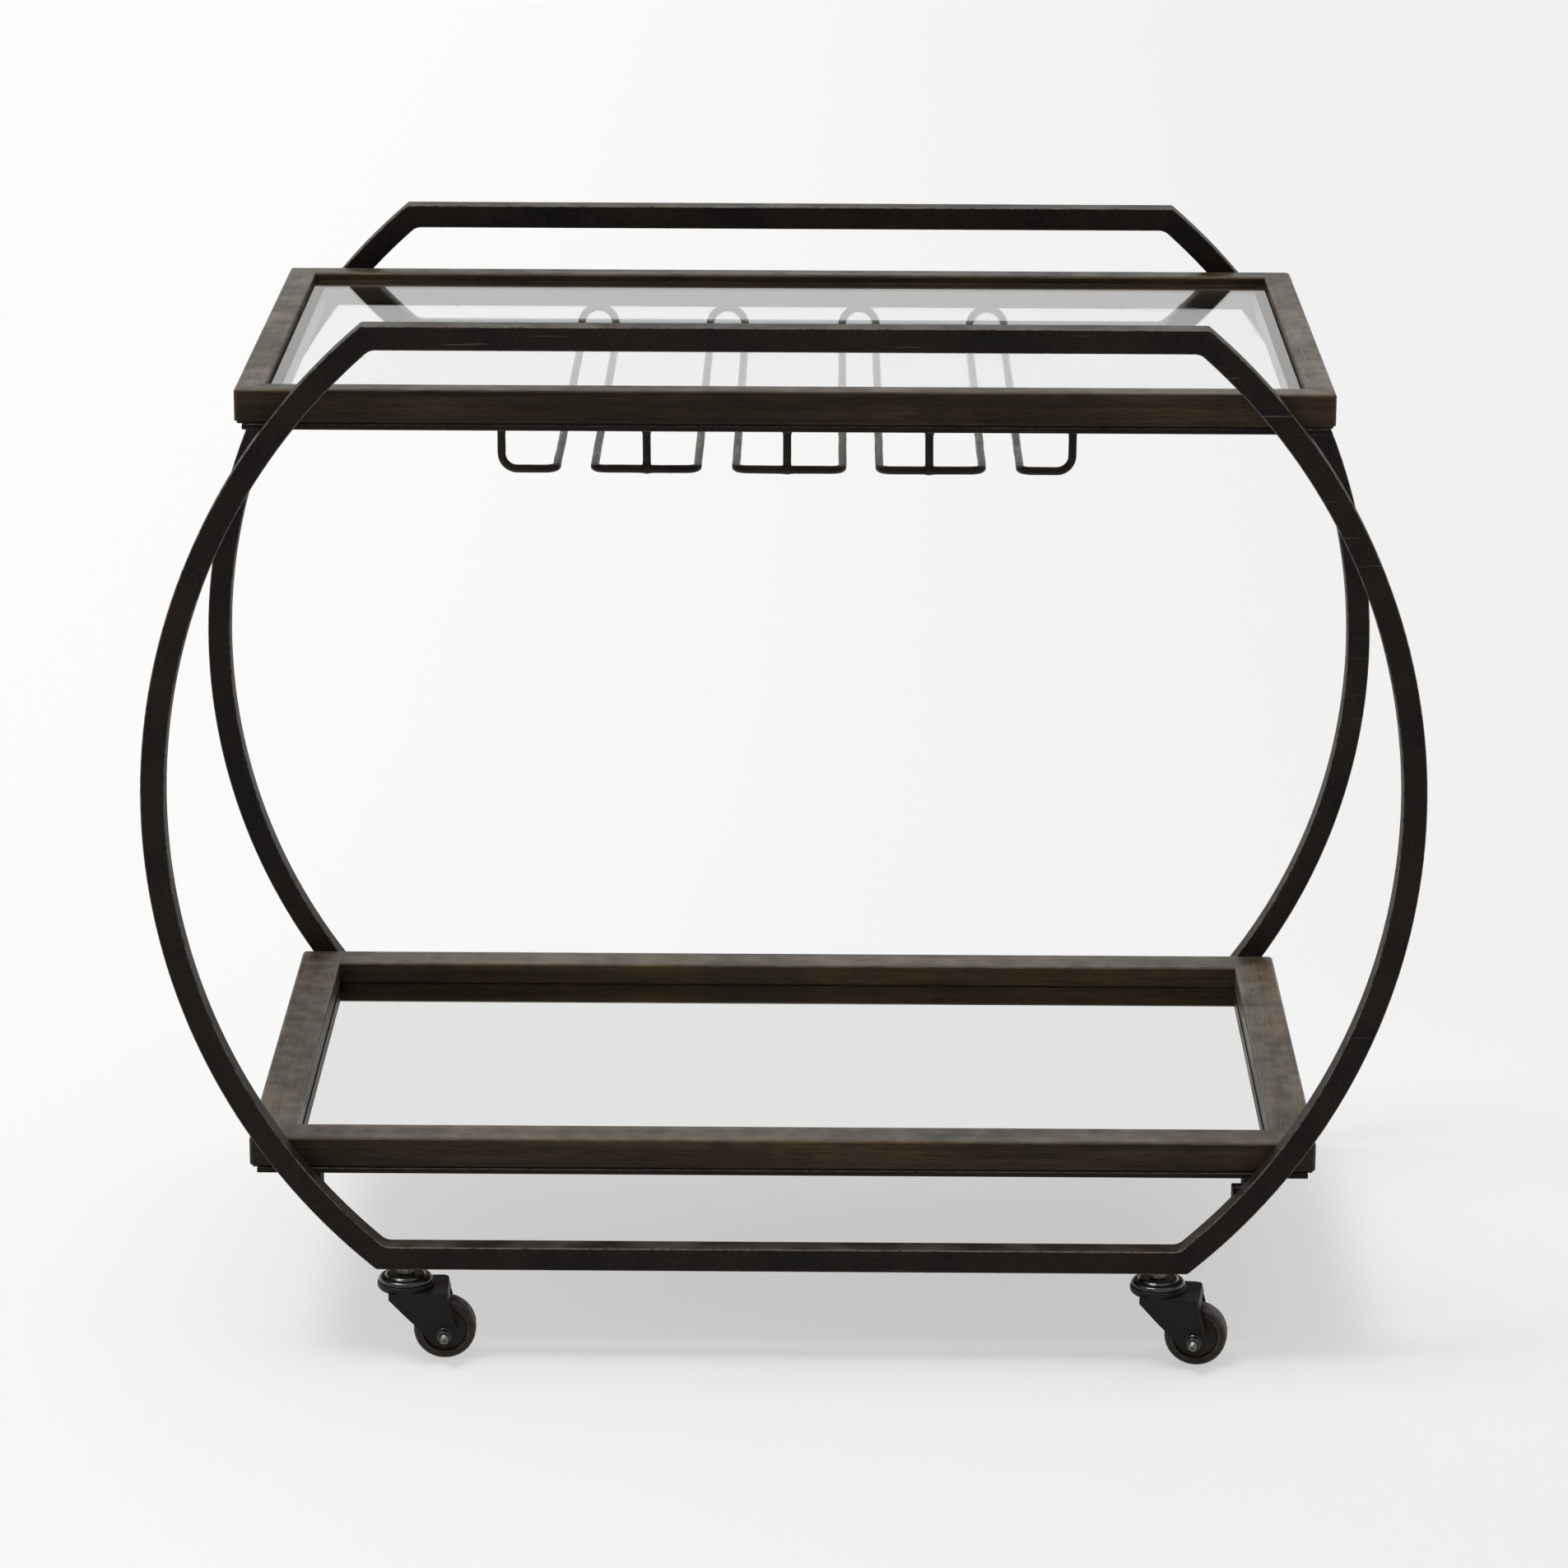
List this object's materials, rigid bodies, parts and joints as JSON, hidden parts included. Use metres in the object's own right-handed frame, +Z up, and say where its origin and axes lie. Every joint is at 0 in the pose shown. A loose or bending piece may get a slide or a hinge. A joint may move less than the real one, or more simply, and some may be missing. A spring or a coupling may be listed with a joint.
{
  "type": "bar cart",
  "caption": "Bar cart on swivel casters: round tube hoops with flat handles carry a glass-topped tray and a mirror tray, with a rod rack for stemmed glasses under the top tray.",
  "frame": {"origin": "on the floor, under the middle of the cart", "axes": "+X along the cart's length, -Y the front, +Z up"},
  "size_m": [1, 0.5818, 0.84],
  "materials": {
    "iron": "dark bronze-black powder coat, fine speckle, worn edges",
    "rod": "dark bronze, slightly glossy, hand-welded joints",
    "wood": "espresso stain, satin",
    "glass": "clear, polished",
    "mirror": "clear silvered mirror",
    "board": "plain hardboard",
    "black_screw": "blackened",
    "caster_black": "semi-gloss black enamel",
    "wheel": "hard dark brown rubber, worn tread",
    "zinc": "zinc plated, slightly dull"
  },
  "bodies": {
    "cart": {"front_handle_rail": "iron", "front_caster_rail": "iron", "front_left_arc": "iron", "front_right_arc": "iron", "back_handle_rail": "iron", "back_caster_rail": "iron", "back_left_arc": "iron", "back_right_arc": "iron", "top_tray_front_rail": "wood", "top_tray_back_rail": "wood", "top_tray_left_rail": "wood", "top_tray_right_rail": "wood", "top_tray_steel_frame": "iron", "top_tray_screws": "black_screw", "lower_tray_front_rail": "wood", "lower_tray_back_rail": "wood", "lower_tray_left_rail": "wood", "lower_tray_right_rail": "wood", "lower_tray_steel_frame": "iron", "lower_tray_screws": "black_screw", "top_tray_glass": "glass", "lower_tray_mirror": "mirror", "lower_tray_board": "board", "tray_support_blocks": "iron", "tray_support_bolts": "black_screw", "glass_rack_rod_outer_left": "rod", "glass_rack_rod_inner_left": "rod", "glass_rack_rod_inner_right": "rod", "glass_rack_rod_outer_right": "rod", "glass_rack_posts": "rod", "caster_jam_nuts": "zinc", "caster_front_left_kingpin": "zinc", "caster_front_left_upper_race": "caster_black", "caster_front_right_kingpin": "zinc", "caster_front_right_upper_race": "caster_black", "caster_back_left_kingpin": "zinc", "caster_back_left_upper_race": "caster_black", "caster_back_right_kingpin": "zinc", "caster_back_right_upper_race": "caster_black"},
    "caster_front_left_swivel": {"caster_front_left_fork": "caster_black", "caster_front_left_axle_bolt": "zinc", "caster_front_left_axle_nut": "zinc"},
    "caster_front_left_roller": {"caster_front_left_wheel": "wheel", "caster_front_left_bush": "zinc"},
    "caster_front_right_swivel": {"caster_front_right_fork": "caster_black", "caster_front_right_axle_bolt": "zinc", "caster_front_right_axle_nut": "zinc"},
    "caster_front_right_roller": {"caster_front_right_wheel": "wheel", "caster_front_right_bush": "zinc"},
    "caster_back_left_swivel": {"caster_back_left_fork": "caster_black", "caster_back_left_axle_bolt": "zinc", "caster_back_left_axle_nut": "zinc"},
    "caster_back_left_roller": {"caster_back_left_wheel": "wheel", "caster_back_left_bush": "zinc"},
    "caster_back_right_swivel": {"caster_back_right_fork": "caster_black", "caster_back_right_axle_bolt": "zinc", "caster_back_right_axle_nut": "zinc"},
    "caster_back_right_roller": {"caster_back_right_wheel": "wheel", "caster_back_right_bush": "zinc"}
  },
  "joints": [
    {"name": "caster_front_left_swivel_turn", "type": "hinge", "parent": "cart", "child": "caster_front_left_swivel", "pos_m": [-0.30001, -0.2525, 0.065], "axis": [0, 0, 1], "continuous": true},
    {"name": "caster_front_left_roll", "type": "hinge", "parent": "caster_front_left_swivel", "child": "caster_front_left_roller", "pos_m": [-0.26903, -0.25142, 0.025], "axis": [-0.0349, 0.9994, 0], "continuous": true},
    {"name": "caster_front_right_swivel_turn", "type": "hinge", "parent": "cart", "child": "caster_front_right_swivel", "pos_m": [0.30001, -0.2525, 0.065], "axis": [0, 0, 1], "continuous": true},
    {"name": "caster_front_right_roll", "type": "hinge", "parent": "caster_front_right_swivel", "child": "caster_front_right_roller", "pos_m": [0.33071, -0.25681, 0.025], "axis": [0.1392, 0.9903, 0], "continuous": true},
    {"name": "caster_back_left_swivel_turn", "type": "hinge", "parent": "cart", "child": "caster_back_left_swivel", "pos_m": [-0.30001, 0.2525, 0.065], "axis": [0, 0, 1], "continuous": true},
    {"name": "caster_back_left_roll", "type": "hinge", "parent": "caster_back_left_swivel", "child": "caster_back_left_roller", "pos_m": [-0.26903, 0.25142, 0.025], "axis": [0.0349, 0.9994, 0], "continuous": true},
    {"name": "caster_back_right_swivel_turn", "type": "hinge", "parent": "cart", "child": "caster_back_right_swivel", "pos_m": [0.30001, 0.2525, 0.065], "axis": [0, 0, 1], "continuous": true},
    {"name": "caster_back_right_roll", "type": "hinge", "parent": "caster_back_right_swivel", "child": "caster_back_right_roller", "pos_m": [0.33071, 0.25681, 0.025], "axis": [-0.1392, 0.9903, 0], "continuous": true}
  ]
}
